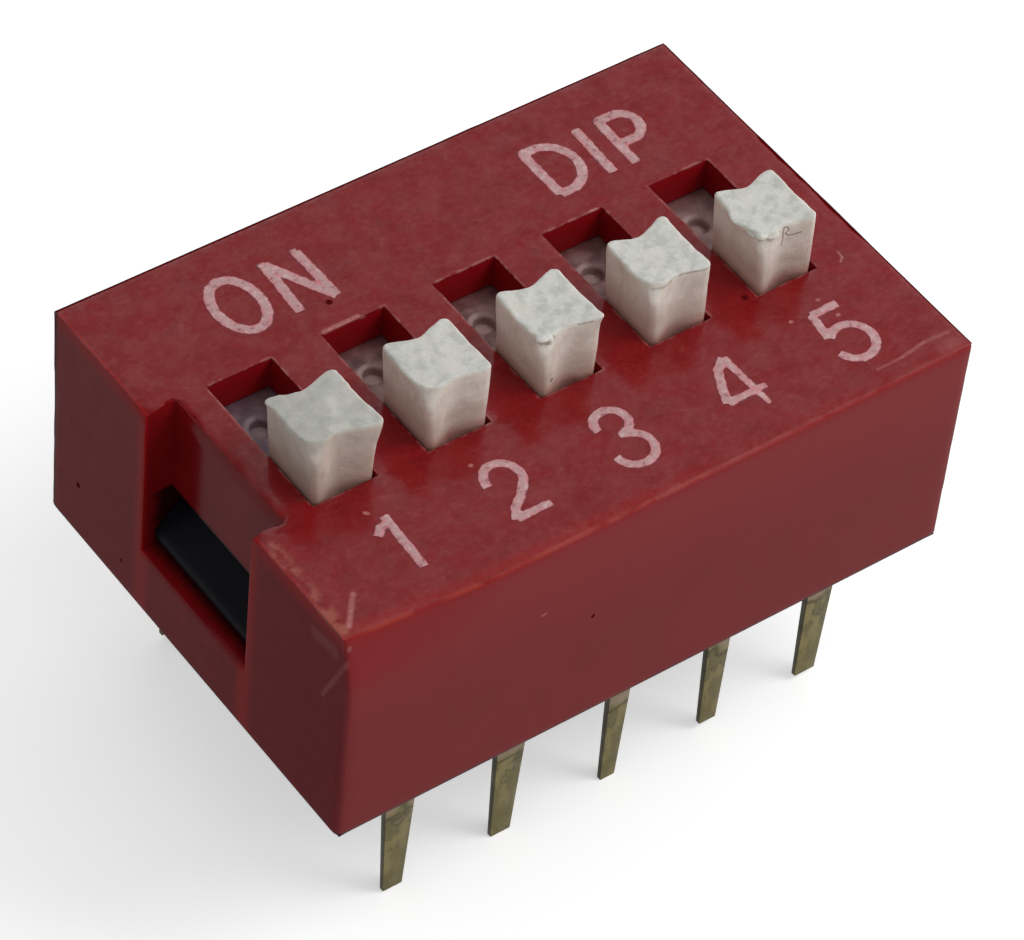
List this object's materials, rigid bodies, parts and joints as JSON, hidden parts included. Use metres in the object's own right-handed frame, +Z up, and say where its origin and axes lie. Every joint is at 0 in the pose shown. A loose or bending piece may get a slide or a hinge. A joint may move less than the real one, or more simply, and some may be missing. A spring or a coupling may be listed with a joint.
{
  "type": "slide dip switch",
  "caption": "Row of small slide switches in a moulded red box with white raised knobs, for through-hole mounting on a circuit board.",
  "frame": {"origin": "centre of the seating plane, at the underside of the cover", "axes": "+X along the row of switches from switch 1 to switch 5, +Y towards the ON side, +Z up through the knobs"},
  "size_m": [0.0142, 0.0098, 0.011],
  "materials": {
    "cover": "moulded red, fine scuffs",
    "base": "moulded black",
    "slider": "moulded white, slightly translucent, rough top",
    "contact": "bright plated",
    "terminal": "dull plated, tarnished"
  },
  "bodies": {
    "root": {"cover": "cover", "base": "base", "terminal_front_1": "terminal", "terminal_front_2": "terminal", "terminal_front_3": "terminal", "terminal_front_4": "terminal", "terminal_front_5": "terminal", "terminal_back_1": "terminal", "terminal_back_2": "terminal", "terminal_back_3": "terminal", "terminal_back_4": "terminal", "terminal_back_5": "terminal"},
    "slider_1": {"actuator_1": "slider", "contact_spring_1": "contact"},
    "slider_2": {"actuator_2": "slider", "contact_spring_2": "contact"},
    "slider_3": {"actuator_3": "slider", "contact_spring_3": "contact"},
    "slider_4": {"actuator_4": "slider", "contact_spring_4": "contact"},
    "slider_5": {"actuator_5": "slider", "contact_spring_5": "contact"}
  },
  "joints": [
    {"name": "switch_1", "type": "slide", "parent": "root", "child": "slider_1", "axis": [0, 1, 0], "range_m": [0, 0.00186]},
    {"name": "switch_2", "type": "slide", "parent": "root", "child": "slider_2", "axis": [0, 1, 0], "range_m": [0, 0.00186]},
    {"name": "switch_3", "type": "slide", "parent": "root", "child": "slider_3", "axis": [0, 1, 0], "range_m": [0, 0.00186]},
    {"name": "switch_4", "type": "slide", "parent": "root", "child": "slider_4", "axis": [0, 1, 0], "range_m": [0, 0.00186]},
    {"name": "switch_5", "type": "slide", "parent": "root", "child": "slider_5", "axis": [0, 1, 0], "range_m": [0, 0.00186]}
  ]
}
